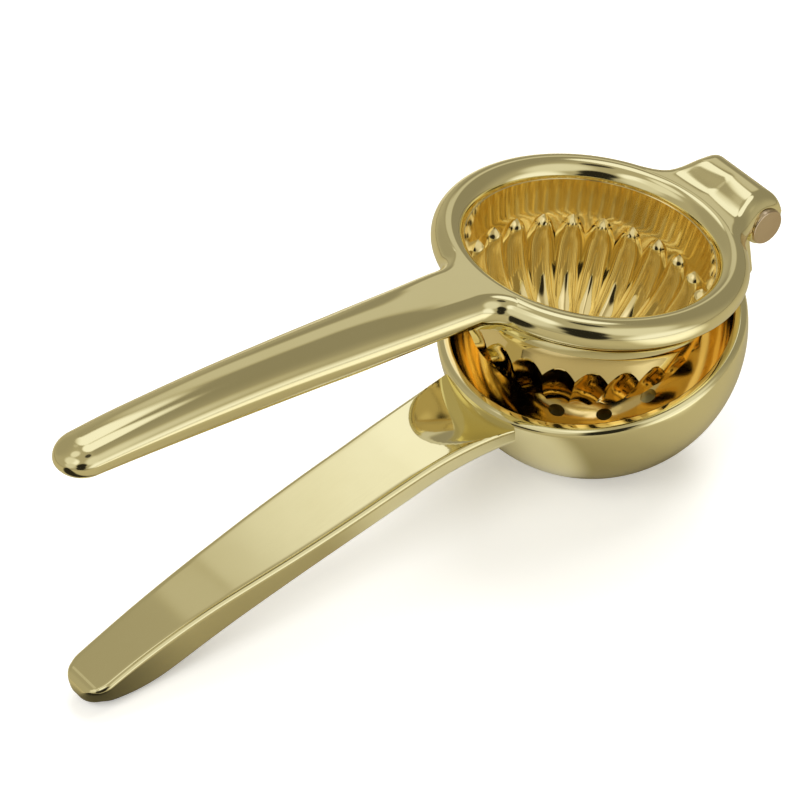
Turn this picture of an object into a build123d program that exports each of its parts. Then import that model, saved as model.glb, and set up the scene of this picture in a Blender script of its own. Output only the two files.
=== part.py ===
from build123d import *
from math import asin, atan2, cos, degrees, hypot, radians, sin, sqrt, tan
import os

# Hinged lemon squeezer, in millimetres.
# Both arms are drawn closed in the bowl frame: the origin is the centre of the
# bowl's rim plane, +X points to the hinge and +Z up.  Each node is then moved
# to the rest pose, in which the bowl's foot and the lower handle's tip lie on
# the plane z = 0 and the press arm is swung open.

# ---- strainer bowl
bowl_outer_radius = 37.0
bowl_outer_drop = 2.2        # outer sphere centre below the rim plane
bowl_wall = 3.2              # at the rim; the inner centre's lower drop thins it downwards
bowl_inner_radius = bowl_outer_radius - bowl_wall
bowl_inner_drop = 1.0        # inner sphere centre below the rim plane
rim_outer_round = 1.8
rim_inner_round = 0.5
foot_radius = 8.0
hole_diameter = 3.9
hole_ring_radius = 11.4
hole_ring_count = 9
hole_ring_start = -23.5

# ---- lower handle
grip_top = 0.8               # height of the flat top face
grip_top_round = 1.3
grip_bottom_round = 3.2
grip_flank_inset = 1.2       # each flank leans in by this much at the bottom
root_bend_x = -62.0          # the top face falls away towards the bowl from here
root_bend_radius = 140.0
tip_bend_x = -112.0          # and towards the tip from here
tip_bend_radius = 200.0
lower_tip_x = -153.9
nose_length = 3.0            # length of the rounded end in the side view
nose_width = 14.2
nose_corner_radius = 6.0     # corners of the rounded end in plan
belly_x = -132.0             # the underside runs straight down to here
belly_height = -12.35
belly_slope = 7.0            # degrees, slope of that straight run
belly_radius = 30.0          # then curls up to the tip on this arc, which it rests on
scoop_radius = 24.0
scoop_slope = 8.0            # degrees, down towards the bowl
scoop_depth = 4.0            # below the rim plane, at the bowl's wall
grip_rows = [                # x, half width, depth
    (-30.0, 14.0, 7.0),
    (-38.0, 12.4, 7.2),
    (-51.0, 11.0, 7.7),
    (-65.0, 10.5, 8.2),
    (-80.0, 10.25, 8.3),
    (-95.0, 9.7, 8.9),
    (-109.0, 8.8, 10.2),
    (-121.0, 8.0, 11.5),
]
belly_rows = [               # x, half width, over the belly's arc
    (belly_x, 7.45),
    (-138.0, 7.2),
    (-143.0, 7.05),
    (-147.5, 7.0),
    (-151.5, 7.0),
]

# ---- press ring, each radius set in from the ring's outer edge
ring_overhang = 0.6          # beyond the bowl's rim
ring_outer_radius = bowl_outer_radius + ring_overhang
ring_outer_height = 6.5
crown_radius = ring_outer_radius - 4.4
crown_top = 10.6
crease_radius = ring_outer_radius - 2.0
crease_height = 3.7
skirt_radius = ring_outer_radius - 5.8
skirt_bottom = -1.8
ring_bore_radius = ring_outer_radius - 6.6
lip_radius = ring_bore_radius - 0.76
lip_top = 8.8
lip_thickness = 1.8

# ---- press cup
flute_count = 24
flute_start = 9.5            # degrees from +X to the first outer groove
cup_wall_top_radius = ring_bore_radius - 1.3
cup_wall_low_radius = ring_bore_radius - 2.9
cup_wall_low_height = -2.0
cup_band_radius = ring_bore_radius - 1.4
cup_band_step = 0.3
cup_ridge_radius = ring_bore_radius + 0.6    # the outer ridges lie on a sphere
cup_ridge_centre = 1.0
cup_depth = cup_ridge_radius - 1.1
groove_depth = 0.063         # of the ridges' radius
flute_top = -5.5             # the outer grooves start above here
rib_top = -1.5               # the inner ribs start above here
cup_valley_radius = ring_bore_radius - 4.35  # the lines between the inner ribs, low down
cup_valley_centre = -3.3
rib_depth = 0.05             # of the valleys' radius
rib_shoulder = 0.68          # how far a rib has risen halfway to its crest
ridge_rows = [68.0, 57.3, 44.6, 30.4, 16.5, 5.45]    # degrees from straight down
valley_rows = [              # degrees from straight down, extra radius
    (81.0, 1.77),
    (73.0, 0.93),
    (60.3, 0.33),
    (44.0, 0.0),
    (27.9, 0.0),
    (15.6, 0.0),
    (5.4, 0.0),
]

# ---- upper handle
upper_tip_x = -151.7
forged_rows = [              # x, middle height, half width, half height, corner radius
    (-28.0, 4.7, 17.0, 5.6, 4.6),
    (-34.0, 4.8, 12.5, 5.6, 4.7),
    (-41.0, 4.9, 9.9, 5.5, 4.8),
    (-52.0, 5.05, 8.9, 5.5, 4.85),
    (-66.0, 5.35, 8.5, 5.65, 4.95),
    (-82.0, 5.1, 8.0, 5.6, 4.9),
    (-96.0, 4.6, 7.6, 5.55, 4.85),
    (-110.0, 3.95, 7.3, 5.3, 4.65),
    (-124.0, 3.1, 7.0, 4.85, 4.25),
    (-137.0, 2.1, 6.7, 4.3, 3.8),
    (-145.0, 1.25, 6.25, 3.7, 3.3),
    (-149.0, 0.8, 5.3, 3.0, 2.7),
    (-150.9, 0.6, 3.7, 2.1, 1.9),
    (upper_tip_x, 0.5, 1.8, 1.0, 0.9),
]

# ---- hinge
hinge_x = bowl_outer_radius + 8.0
hinge_z = 6.3
open_angle = 18.5            # degrees between the closed and the rest pose
pin_radius = 2.5
running_clearance = 0.05
knuckle_radius = 4.9
side_clearance = 0.3
lug_width = 16.0
lug_face_x = hinge_x - 1.5
lug_inner_x = hinge_x - 6.3
lug_neck = 4.7               # the lug's inner face leans in from this far below the pin's line
lug_low_z = -10.8
lug_root_x = hinge_x - 16.0
lug_root_z = -24.5
ear_thickness = 3.6
hood_half_width = lug_width / 2 + side_clearance + ear_thickness
hood_top = 13.8
hood_end_x = hinge_x + 6.0
hood_roof = 1.5
hood_slope_x = hinge_x - 6.5  # the roof slopes down to the ring from here
hood_corner_radius = 4.5
hood_edge_round = 3.0
hood_flare_radius = 6.0
ear_radius = 5.3
arch_rise = 2.7              # of the hood's underside over the pin's line
head_radius = 4.5
head_thickness = 1.0
head_edge_round = 0.35
tail_radius = 3.9
tail_thickness = 1.0
tail_edge_round = 0.6
washer_radius = 4.6
washer_thickness = 0.4

ALONG = Plane.XZ             # local y is up, local z is -Y


def station(x):
    """Plane across the arm at x, with local x along +Y and local y along +Z."""
    return Plane(origin=(x, 0, 0), x_dir=(0, 1, 0), z_dir=(1, 0, 0))


def rounded_polygon(corners, radii):
    """Closed face through convex corners in the XY plane, each with its own radius."""
    count = len(corners)
    starts = []
    middles = []
    ends = []
    for k in range(count):
        here = Vector(*corners[k])
        back = (Vector(*corners[k - 1]) - here).normalized()
        ahead = (Vector(*corners[(k + 1) % count]) - here).normalized()
        half = radians(back.get_angle(ahead)) / 2
        bisector = (back + ahead).normalized()
        starts.append(here + back * (radii[k] / tan(half)))
        ends.append(here + ahead * (radii[k] / tan(half)))
        middles.append(here + bisector * (radii[k] / sin(half) - radii[k]))
    edges = []
    for k in range(count):
        edges.append(ThreePointArc(starts[k], middles[k], ends[k]))
        edges.append(Line(ends[k], starts[(k + 1) % count]))
    return make_face(edges)


def across(x, face):
    """Face drawn in the XY plane, moved to the station at x."""
    return station(x) * face


def slab(face, half_width):
    """Solid made by drawing a side-view face out to both sides."""
    return extrude(ALONG * face, half_width, both=True)


# ---------------------------------------------------------------- lower arm
def bowl_envelope():
    sphere = Pos(0, 0, -bowl_outer_drop) * Sphere(bowl_outer_radius)
    bowl = sphere & Pos(0, 0, -2 * bowl_outer_radius) * Cylinder(2 * bowl_outer_radius, 4 * bowl_outer_radius)
    return fillet(bowl.edges().group_by(Axis.Z)[-1], rim_outer_round)


def grip_height(x):
    """Height of the lower handle's top face at x."""
    to_root = max(x - root_bend_x, 0)
    to_tip = max(tip_bend_x - x, 0)
    return grip_top - to_root**2 / (2 * root_bend_radius) - to_tip**2 / (2 * tip_bend_radius)


def belly_centre():
    """Centre of the arc under the tip, in the side view."""
    slope = radians(belly_slope)
    return Vector(belly_x - belly_radius * sin(slope), belly_height + belly_radius * cos(slope))


def belly_under(x):
    """Height of the underside at x, on the arc."""
    centre = belly_centre()
    return centre.Y - sqrt(belly_radius**2 - (x - centre.X) ** 2)


def rest_tilt():
    """Degrees the bowl frame leans back so that its foot and the belly share a plane."""
    centre = belly_centre()
    rise = centre.Y + bowl_outer_drop
    foot_depth = sqrt(bowl_outer_radius**2 - foot_radius**2)
    return degrees(asin((foot_depth - belly_radius) / hypot(centre.X, rise)) + atan2(rise, -centre.X))


def foot_direction():
    tilt = radians(rest_tilt())
    return Vector(-sin(tilt), 0, -cos(tilt))


def foot_centre():
    return Vector(0, 0, -bowl_outer_drop) + foot_direction() * sqrt(bowl_outer_radius**2 - foot_radius**2)


def strainer_bowl():
    hollow = Pos(0, 0, -bowl_inner_drop) * Sphere(bowl_inner_radius)
    bowl = bowl_envelope() - hollow
    rim = bowl.edges().filter_by(GeomType.CIRCLE).filter_by_position(Axis.Z, -0.01, 0.01)
    bowl = fillet(rim.sort_by(SortBy.RADIUS)[0], rim_inner_round)
    ground = Plane(foot_centre(), z_dir=foot_direction())
    bowl = bowl - extrude(ground * Circle(2 * foot_radius), bowl_outer_radius)
    drill = Pos(0, 0, -bowl_outer_radius) * Cylinder(hole_diameter / 2, bowl_outer_radius)
    holes = [drill]
    for k in range(hole_ring_count):
        turn = Rot(0, 0, hole_ring_start + k * 360 / hole_ring_count)
        holes.append(turn * Pos(hole_ring_radius, 0, 0) * drill)
    return bowl - holes


def grip_section(x, half_width, depth):
    top = grip_height(x)
    low = top - depth
    foot = half_width - grip_flank_inset
    corners = [(half_width, top), (-half_width, top), (-foot, low), (foot, low)]
    radii = [grip_top_round, grip_top_round, grip_bottom_round, grip_bottom_round]
    return across(x, rounded_polygon(corners, radii))


def lower_handle():
    """Loft along the grip; its last section is repeated past the nose, which trims it."""
    rows = list(grip_rows)
    for x, half_width in belly_rows:
        rows.append((x, half_width, grip_height(x) - belly_under(x)))
    rows.append((lower_tip_x - nose_length, rows[-1][1], rows[-1][2]))
    body = loft([grip_section(*row) for row in rows])
    return (body & nose_form()) - scoop() - bowl_envelope()


def nose_form():
    """Room the handle may take up: a rounded nose in the side view and in plan."""
    start = lower_tip_x + nose_length
    above = Vector(start, grip_height(start))
    below = Vector(start, belly_under(start))
    front = Vector(lower_tip_x, (above.Y + below.Y) / 2)
    high = -2 * belly_height
    low = 4 * belly_height
    outline = Polyline(below, (start, low), (0, low), (0, high), (start, high), above)
    side = slab(make_face([ThreePointArc(above, front, below), outline]), bowl_outer_radius)
    length = -lower_tip_x
    plan = Pos(-length / 2, 0) * Rectangle(length, nose_width)
    plan = fillet(plan.vertices().group_by(Axis.X)[0], nose_corner_radius)
    body = length - 2 * nose_corner_radius
    plan = plan + Pos(-body / 2, 0) * Rectangle(body, 2 * bowl_outer_radius)
    return side & extrude(plan, -low, both=True)


def scoop():
    """Shallow round hollow that lets the top face run down to the bowl's wall."""
    start = Vector(-bowl_outer_radius, 0, scoop_radius - scoop_depth)
    lean = Rot(0, scoop_slope, 0)
    return Pos(start) * lean * Rot(0, 90, 0) * Cylinder(scoop_radius, 3 * bowl_outer_radius)


def hinge_lug():
    outline = Polyline(
        (lug_root_x, lug_root_z),
        (lug_face_x, lug_low_z),
        (lug_face_x, hinge_z - knuckle_radius / 2),
        (hinge_x, hinge_z),
        (hinge_x - lug_neck, hinge_z),
        (lug_inner_x, skirt_bottom),
        (lug_root_x, skirt_bottom),
        close=True,
    )
    lug = slab(make_face(outline), lug_width / 2)
    lug = lug + hinge_cylinder(knuckle_radius, lug_width)
    lug = lug - hinge_cylinder(pin_radius + running_clearance, 2 * lug_width)
    return lug - bowl_envelope()


def hinge_cylinder(radius, width):
    return Pos(hinge_x, 0, hinge_z) * Rot(90, 0, 0) * Cylinder(radius, width)


# ---------------------------------------------------------------- press arm
def ring_profile(inner):
    """Half section of the ring, closed along the line from inner[0] to inner[-1]."""
    lip = Vector(lip_radius, lip_top)
    top = Vector(crown_radius, crown_top)
    edge = Vector(ring_outer_radius, ring_outer_height)
    crease = Vector(crease_radius, crease_height)
    skirt = Vector(skirt_radius, skirt_bottom)
    crown = ThreePointArc(lip, lip + Vector(1.06, 1.4), top)
    shoulder = ThreePointArc(top, edge + Vector(-1.1, 2.9), edge)
    roll = ThreePointArc(edge, edge + Vector(-0.5, -1.7), crease)
    cove = ThreePointArc(crease, skirt + Vector(1.3, 3.4), skirt)
    close = Polyline((skirt_radius, skirt_bottom), *inner, (lip_radius, lip_top))
    return make_face(ALONG * Curve([crown, shoulder, roll, cove, close]))


def press_ring():
    ledge = lip_top - lip_thickness
    bore = [(ring_bore_radius, skirt_bottom), (ring_bore_radius, ledge), (lip_radius, ledge)]
    return revolve(ring_profile(bore), Axis.Z)


def ring_envelope():
    """Everything the ring encloses, and the clear space above its mouth."""
    filled = revolve(ring_profile([(0, skirt_bottom), (0, lip_top)]), Axis.Z)
    return filled + Pos(0, 0, crown_top) * Cylinder(crown_radius, 2 * crown_top)


def spoke(radius, angle, z):
    return Vector(radius * cos(radians(angle)), radius * sin(radians(angle)), z)


def groove_star(z, ridge):
    """Closed outline of the outer flutes: hollow arcs that meet in sharp ridges."""
    pitch = 360 / flute_count
    groove = ridge * (1 - groove_depth)
    edges = []
    for k in range(flute_count):
        a = flute_start + k * pitch
        ends = [spoke(ridge, a - pitch / 2, z), spoke(ridge, a + pitch / 2, z)]
        edges.append(ThreePointArc(ends[0], spoke(groove, a, z), ends[1]))
    return make_face(edges)


def rib_star(z, valley):
    """Closed outline of the inner ribs: full flanks that meet in a crest, with narrow valleys."""
    pitch = 360 / flute_count
    crest = valley * (1 - rib_depth)
    shoulder = valley * (1 - rib_depth * rib_shoulder)
    edges = []
    for k in range(flute_count):
        a = flute_start + k * pitch
        peak = spoke(crest, a, z)
        flank = [spoke(valley, a - pitch / 2, z), spoke(shoulder, a - pitch / 4, z), peak]
        edges.append(ThreePointArc(*flank))
        flank = [peak, spoke(shoulder, a + pitch / 4, z), spoke(valley, a + pitch / 2, z)]
        edges.append(ThreePointArc(*flank))
    return make_face(edges)


def fluted_outside():
    """Outer form below the band, on a sphere that opens out towards the band."""
    rows = [(flute_top, cup_ridge_radius + 1.0), (flute_top - 2.0, cup_ridge_radius - 0.1)]
    for angle in ridge_rows:
        t = radians(angle)
        rows.append((cup_ridge_centre - cup_ridge_radius * cos(t), cup_ridge_radius * sin(t)))
    return loft([groove_star(*row) for row in rows])


def fluted_inside():
    """Inner form, on a smaller sphere that opens out towards the plain wall."""
    rows = [(rib_top, cup_valley_radius + 4.05), (rib_top - 2.5, cup_valley_radius + 2.75)]
    for angle, extra in valley_rows:
        t = radians(angle)
        reach = cup_valley_radius + extra
        rows.append((cup_valley_centre - reach * (1 - rib_depth) * cos(t), reach * sin(t)))
    return loft([rib_star(*row) for row in rows])


def below(height):
    """Everything under a height."""
    size = 2 * bowl_outer_radius
    return Pos(0, 0, height - size / 2) * Cylinder(size, size)


def press_cup():
    ledge = lip_top - lip_thickness
    outside = make_face(ALONG * Polyline(
        (0, ledge),
        (ring_bore_radius, ledge),
        (ring_bore_radius, skirt_bottom),
        (cup_band_radius + cup_band_step, skirt_bottom - 1.4),
        (cup_band_radius, skirt_bottom - 3.4),
        (cup_band_radius, -cup_depth),
        (0, -cup_depth),
        close=True,
    ))
    band = revolve(outside, Axis.Z)
    wall = (band - below(flute_top)) + (band & fluted_outside())
    smooth = make_face(ALONG * Polyline(
        (0, lip_top),
        (cup_wall_top_radius, lip_top),
        (cup_wall_top_radius, ledge),
        (cup_wall_low_radius, cup_wall_low_height),
        (cup_wall_low_radius - 0.5, -cup_depth),
        (0, -cup_depth),
        close=True,
    ))
    hollow = revolve(smooth, Axis.Z)
    return wall - ((hollow - below(rib_top)) + (hollow & fluted_inside()))


def upper_section(x, middle, half_width, half_height, corner):
    outline = [(half_width, half_height), (-half_width, half_height)]
    outline += [(-half_width, -half_height), (half_width, -half_height)]
    face = rounded_polygon(outline, [corner] * 4)
    return across(x, Pos(0, middle) * face)


def upper_handle():
    """Drop-forged grip: deep oval at the ring, thinning to a rounded tip."""
    body = loft([upper_section(*row) for row in forged_rows])
    return body - ring_envelope()


def hinge_hood():
    """Tongue beyond the ring: a roof, an end wall and two ears round the lug."""
    outline = Polyline(
        (crown_radius - 9.2, lip_top - lip_thickness - 2.0),
        (crown_radius - 5.2, lip_top - 0.6),
        (hood_slope_x, hood_top),
        (hood_end_x, hood_top),
        (hood_end_x, hinge_z),
        (hinge_x, hinge_z),
        (hinge_x - 6.0, hinge_z - 0.3),
        (hinge_x - 10.0, hinge_z + arch_rise),
        (crown_radius - 3.2, hinge_z - 1.3),
        close=True,
    )
    side = slab(make_face(outline), 2 * hood_half_width)
    side = side + hinge_cylinder(ear_radius, 4 * hood_half_width)
    length = hood_end_x - crown_radius / 2
    middle = hood_end_x - length / 2
    block = Pos(middle, 0, 0) * Box(length, 2 * hood_half_width, 2 * hood_top)
    block = fillet(block.edges().filter_by(Axis.Z).group_by(Axis.X)[-1], hood_corner_radius)
    block = fillet(block.faces().sort_by(Axis.Z)[-1].edges(), hood_edge_round)
    plan = Pos(middle, 0) * Rectangle(length, 2 * hood_half_width) + Circle(crown_radius)
    notch = plan.vertices().filter_by_position(Axis.X, crown_radius - hood_half_width, crown_radius)
    plan = fillet(notch, hood_flare_radius) & Pos(crown_radius, 0) * Rectangle(2 * hood_flare_radius, 2 * crown_radius)
    hood = side & (block + extrude(plan, hood_top - hood_edge_round, both=True))
    hood = hood - ring_envelope() - lug_room()
    return hood - hinge_cylinder(pin_radius, 4 * hood_half_width)


def lug_room():
    """Space inside the hood for the lug and its knuckle."""
    width = lug_width + 2 * side_clearance
    swept = hinge_cylinder(hood_top - hood_roof - hinge_z, width)
    reach = knuckle_radius + side_clearance
    length = lug_width + reach
    drop = 2 * ear_radius + 2 * lug_width
    room = Pos(hinge_x + reach - length / 2, 0, hinge_z - drop / 2) * Box(length, width, drop)
    return swept + room


def hinge_pin():
    ear = hood_half_width + washer_thickness
    pin = hinge_cylinder(pin_radius, 2 * ear)
    head = Pos(hinge_x, -ear - head_thickness / 2, hinge_z) * Rot(90, 0, 0) * Cylinder(head_radius, head_thickness)
    head = fillet(head.edges().group_by(Axis.Y)[0], head_edge_round)
    tail = Pos(hinge_x, ear + tail_thickness / 2, hinge_z) * Rot(90, 0, 0) * Cylinder(tail_radius, tail_thickness)
    tail = fillet(tail.edges().group_by(Axis.Y)[-1], tail_edge_round)
    return pin + head + tail


def pin_washer(side):
    middle = side * (hood_half_width + washer_thickness / 2)
    disc = Pos(hinge_x, middle, hinge_z) * Rot(90, 0, 0) * Cylinder(washer_radius, washer_thickness)
    return disc - hinge_cylinder(pin_radius, 4 * hood_half_width)


# ---------------------------------------------------------------- placing
def lay_down(shape):
    """Bowl frame to the frame of the whole: foot centre at the origin, foot flat."""
    return Rot(0, -rest_tilt(), 0) * Pos(-foot_centre()) * shape


def swing_open(shape):
    hinge = Pos(hinge_x, 0, hinge_z)
    return hinge * Rot(0, open_angle, 0) * hinge.inverse() * shape


def save(shape, node):
    export_step(shape, "parts/" + node + ".step")


os.makedirs("parts", exist_ok=True)

save(lay_down(strainer_bowl()), "strainer_bowl")
save(lay_down(lower_handle()), "lower_handle")
save(lay_down(hinge_lug()), "hinge_lug")
save(lay_down(swing_open(press_ring())), "press_ring")
save(lay_down(swing_open(press_cup())), "press_cup")
save(lay_down(swing_open(upper_handle())), "upper_handle")
save(lay_down(swing_open(hinge_hood())), "hinge_hood")
save(lay_down(swing_open(hinge_pin())), "hinge_pin")
save(lay_down(swing_open(pin_washer(-1))), "head_washer")
save(lay_down(swing_open(pin_washer(1))), "tail_washer")
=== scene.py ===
"""Hinged lemon squeezer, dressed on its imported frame.

The tool's sizes are millimetres, those of finishes and studio are metres.  Each piece
is drawn in the frame of the closed tool, with the origin at the centre of the bowl's
rim, +X towards the hinge and +Z up.  It is then laid down on the table, and the press
arm is swung open.
"""
import logging
from dataclasses import dataclass, field
from enum import Enum
from math import acos, atan2, cos, exp, hypot, inf, pi, radians, sin, sqrt, tan
from typing import Callable, Sequence

import bmesh
import bpy
from mathutils import Matrix, Vector


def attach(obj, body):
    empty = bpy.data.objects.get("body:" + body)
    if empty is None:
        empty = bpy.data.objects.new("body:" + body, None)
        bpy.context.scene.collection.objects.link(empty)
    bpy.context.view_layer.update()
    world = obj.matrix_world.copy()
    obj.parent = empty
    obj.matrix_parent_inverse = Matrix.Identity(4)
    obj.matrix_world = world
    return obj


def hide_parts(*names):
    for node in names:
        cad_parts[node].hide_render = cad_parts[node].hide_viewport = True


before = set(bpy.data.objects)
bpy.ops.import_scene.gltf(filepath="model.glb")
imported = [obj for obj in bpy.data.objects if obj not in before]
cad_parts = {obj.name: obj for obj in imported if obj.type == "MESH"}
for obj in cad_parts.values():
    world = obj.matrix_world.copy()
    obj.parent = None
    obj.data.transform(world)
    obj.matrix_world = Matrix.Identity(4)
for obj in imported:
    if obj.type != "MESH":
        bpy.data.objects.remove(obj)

log = logging.getLogger("squeezer")
Pair = tuple[float, float]
Triple = tuple[float, float, float]
Form = Callable[[Pair, float], Pair]
Piece = bpy.types.Object
Tree = bpy.types.NodeTree
Node = bpy.types.Node
Socket = bpy.types.NodeSocket
MM = 0.001
# Points of a line nearer than SAME are one point, and points of a mesh nearer than WELD are merged.
SAME = 1e-6
WELD = 1e-5


class Arm(Enum):
    """The two rigid bodies of the tool."""

    LOWER = "lower_arm"
    PRESS = "upper_arm"


class Slot(Enum):
    """Material slots of the record."""

    LOWER = "lower_casting"
    UPPER = "upper_casting"
    CUP = "cup_interior"
    PIN = "pin_metal"
    WASHER = "washer_metal"


@dataclass(frozen=True)
class Stance:
    """Where the two arms lie at rest."""

    tilt: float = 10.793354
    foot: Triple = (-6.764993, 0.0, -37.685699)
    hinge_x: float = 45.0
    hinge_z: float = 6.3
    opening: float = 18.5

    def lower(self) -> Matrix:
        """Matrix from the drawing frame to the table, for the lower arm."""
        turn = Matrix.Rotation(radians(-self.tilt), 4, "Y")
        return Matrix.Scale(MM, 4) @ turn @ Matrix.Translation(-Vector(self.foot))

    def press(self) -> Matrix:
        """Matrix from the drawing frame to the table, for the press arm."""
        hinge = Matrix.Translation((self.hinge_x, 0, self.hinge_z))
        swing = Matrix.Rotation(radians(self.opening), 4, "Y")
        return self.lower() @ hinge @ swing @ hinge.inverted()

    def of(self, arm: Arm) -> Matrix:
        """Matrix of one arm."""
        return self.lower() if arm is Arm.LOWER else self.press()


STANCE = Stance()


# ------------------------------------------------------------------ drawing aids
def arc(start: Pair, middle: Pair, end: Pair, steps: int) -> list[Pair]:
    """Points along the circle through three points.

    Args:
        start: First point.
        middle: A point on the way.
        end: Last point.
        steps: Number of equal steps.

    Returns:
        The points, with both ends.
    """
    (ax, ay), (bx, by), (cx, cy) = start, middle, end
    a, b, c = (x**2 + y**2 for x, y in (start, middle, end))
    d = 2 * (ax * (by - cy) + bx * (cy - ay) + cx * (ay - by))
    ux = (a * (by - cy) + b * (cy - ay) + c * (ay - by)) / d
    uy = (a * (cx - bx) + b * (ax - cx) + c * (bx - ax)) / d
    radius = hypot(ax - ux, ay - uy)
    first, mid, last = (atan2(y - uy, x - ux) for x, y in (start, middle, end))
    sweep = (last - first) % (2 * pi)
    if (mid - first) % (2 * pi) > sweep:
        sweep -= 2 * pi
    angles = [first + sweep * k / steps for k in range(steps + 1)]
    return [(ux + radius * cos(angle), uy + radius * sin(angle)) for angle in angles]


def run(start: Pair, end: Pair, steps: int) -> list[Pair]:
    """Points along a straight line, with both ends."""
    (ax, ay), (bx, by) = start, end
    return [(ax + (bx - ax) * k / steps, ay + (by - ay) * k / steps) for k in range(steps + 1)]


def joined(*parts: list[Pair]) -> list[Pair]:
    """One line from several, with repeated points left out."""
    line: list[Pair] = []
    for part in parts:
        for point in part:
            if not line or hypot(point[0] - line[-1][0], point[1] - line[-1][1]) > SAME:
                line.append(point)
    return line


def spaced(start: float, end: float, steps: int, bias: float = 1.0) -> list[float]:
    """Numbers from start to end; a bias over 1 packs them closer towards the end."""
    return [start + (end - start) * (1 - (1 - k / steps) ** bias) for k in range(steps + 1)]


def eased(value: float, start: float, end: float) -> float:
    """Smooth step from 0 at start to 1 at end."""
    t = max(0.0, min(1.0, (value - start) / (end - start)))
    return t * t * (3 - 2 * t)


def edge_drop(share: float) -> float:
    """How far a round edge of radius 1 has still to rise, at a share of its width."""
    return 1 - sqrt(max(1 - (1 - min(share, 1.0)) ** 2, 0.0))


@dataclass(frozen=True)
class Track:
    """Smooth curve through rows of values over one length."""

    stations: tuple[float, ...]
    values: tuple[float, ...]

    def slope(self, k: int) -> float:
        """Slope at station k, level with its neighbours' chord, none at a turn."""
        x, v = self.stations, self.values
        if k in (0, len(x) - 1):
            j = 0 if k == 0 else k - 1
            return (v[j + 1] - v[j]) / (x[j + 1] - x[j])
        wide = (x[k + 1] - x[k], x[k] - x[k - 1])
        before, after = (v[k] - v[k - 1]) / wide[1], (v[k + 1] - v[k]) / wide[0]
        if before * after <= 0:
            return 0.0
        return (wide[0] * before + wide[1] * after) / (wide[0] + wide[1])

    def at(self, x: float) -> float:
        """Value at x, held past both ends."""
        xs = self.stations
        if x <= xs[0]:
            return self.values[0]
        if x >= xs[-1]:
            return self.values[-1]
        k = next(i for i in range(len(xs) - 1) if x <= xs[i + 1])
        h = xs[k + 1] - xs[k]
        t = (x - xs[k]) / h
        a, b = self.values[k], self.values[k + 1]
        p, q = self.slope(k) * h, self.slope(k + 1) * h
        ends = a * (2 * t**3 - 3 * t**2 + 1) + p * (t**3 - 2 * t**2 + t)
        return ends + b * (3 * t**2 - 2 * t**3) + q * (t**3 - t**2)


def track(rows: Sequence[Sequence[float]], column: int) -> Track:
    """Track of one column of a table whose first column is the station."""
    ordered = sorted(rows)
    return Track(tuple(row[0] for row in ordered), tuple(row[column] for row in ordered))


def solve(value: Callable[[float], float], low: float, high: float, halvings: int = 40) -> float:
    """Place between low and high where a falling or rising value crosses zero."""
    sign = value(low) > 0
    for _ in range(halvings):
        middle = (low + high) / 2
        if (value(middle) > 0) == sign:
            low = middle
        else:
            high = middle
    return (low + high) / 2


def rounded_outline(corners: Sequence[Pair], radii: Sequence[float], turn: int, side: int) -> list[Pair]:
    """Closed outline with rounded corners and a fixed number of points.

    Args:
        corners: Convex corners in order.
        radii: Radius of each corner.
        turn: Steps in each corner.
        side: Steps in each straight side.

    Returns:
        The points, the first not repeated.
    """
    count = len(corners)
    bends = []
    for k in range(count):
        here = Vector(corners[k])
        back = (Vector(corners[k - 1]) - here).normalized()
        ahead = (Vector(corners[(k + 1) % count]) - here).normalized()
        half = acos(max(-1.0, min(1.0, back.dot(ahead)))) / 2
        reach = radii[k] / tan(half)
        middle = here + (back + ahead).normalized() * (radii[k] / sin(half) - radii[k])
        bends.append(arc(tuple(here + back * reach), tuple(middle), tuple(here + ahead * reach), turn))
    outline: list[Pair] = []
    for k in range(count):
        outline += bends[k]
        outline += run(bends[k][-1], bends[(k + 1) % count][0], side)[1:-1]
    return outline


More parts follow.
